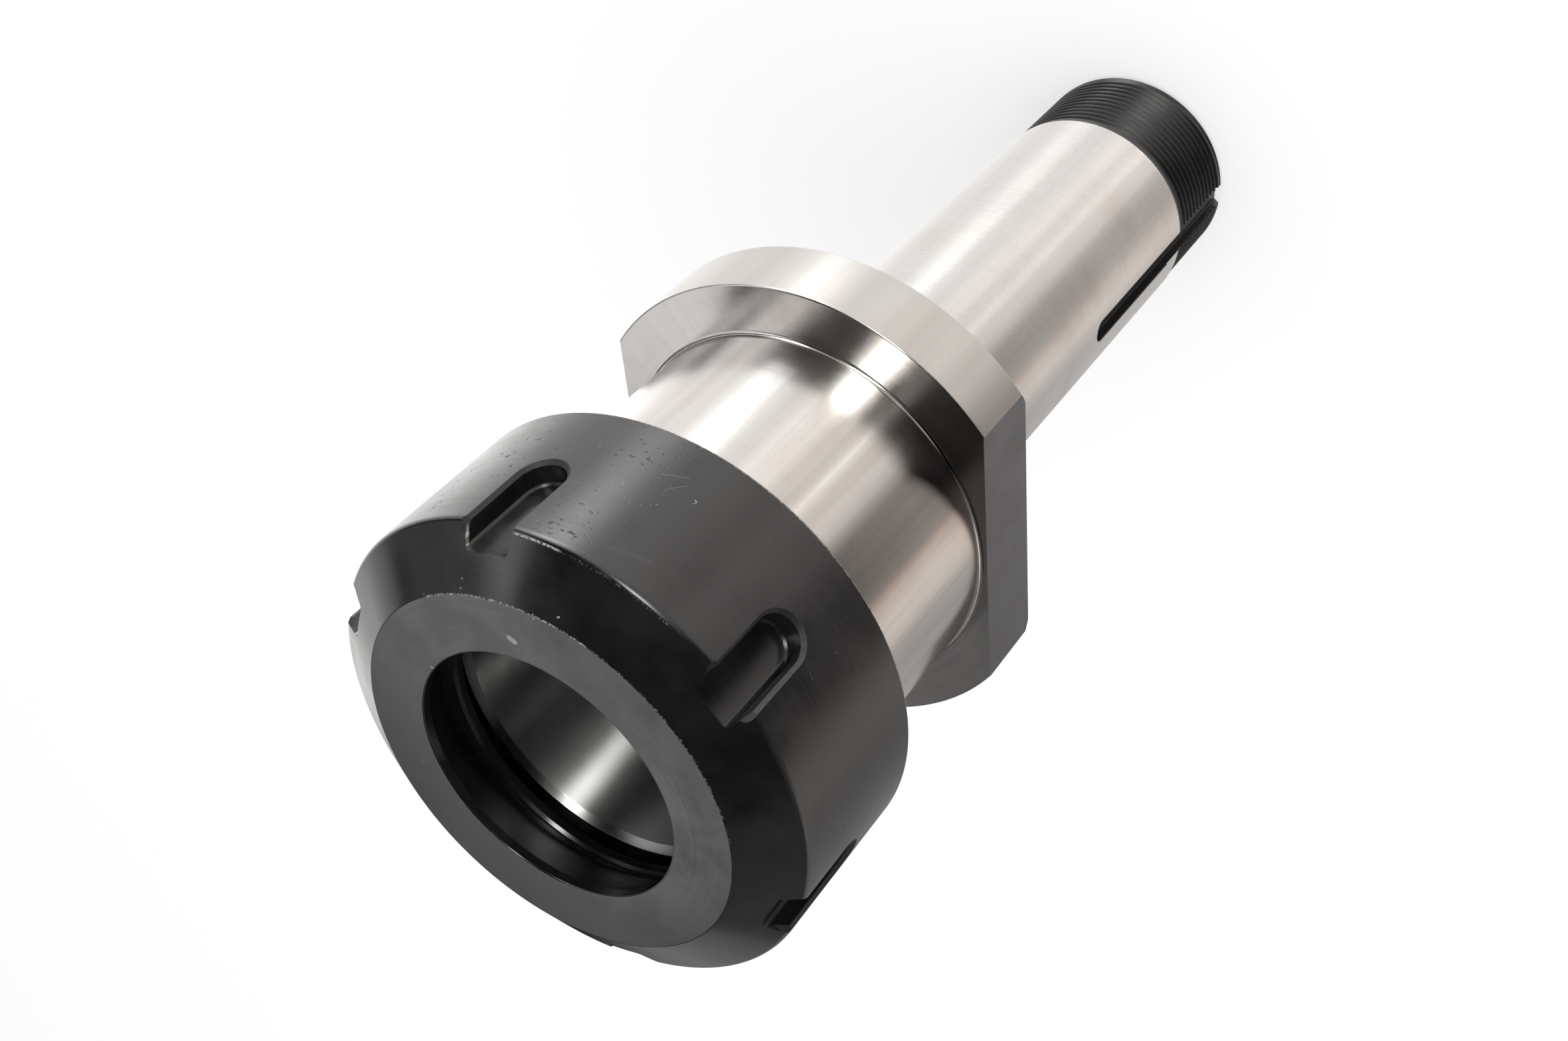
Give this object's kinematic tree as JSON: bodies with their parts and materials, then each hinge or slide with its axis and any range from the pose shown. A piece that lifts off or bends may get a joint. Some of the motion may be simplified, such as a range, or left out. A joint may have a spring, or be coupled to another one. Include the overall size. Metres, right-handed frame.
{
  "type": "collet chuck holder",
  "caption": "Steel collet chuck holder: straight keyed shank with a threaded rear end, flange with wrench flats, ground neck, and a slotted black clamping nut on the nose.",
  "frame": {"origin": "on the turning axis, in the plane of the rear end of the shank", "axes": "+Z along the turning axis towards the nut, wrench flats facing +X and -X"},
  "size_m": [0.063, 0.064, 0.1555],
  "materials": {
    "ground_steel": "ground, with a blackened thread and dark milled flats",
    "black_oxide_steel": "satin black oxide"
  },
  "bodies": {
    "holder": {"holder_body": "ground_steel"},
    "nut": {"clamping_nut": "black_oxide_steel"}
  },
  "joints": [
    {"name": "nut_turn", "type": "hinge", "parent": "holder", "child": "nut", "pos_m": [0, 0, 0.1424], "axis": [0, 0, 1], "range_deg": [-550, 2850]}
  ]
}
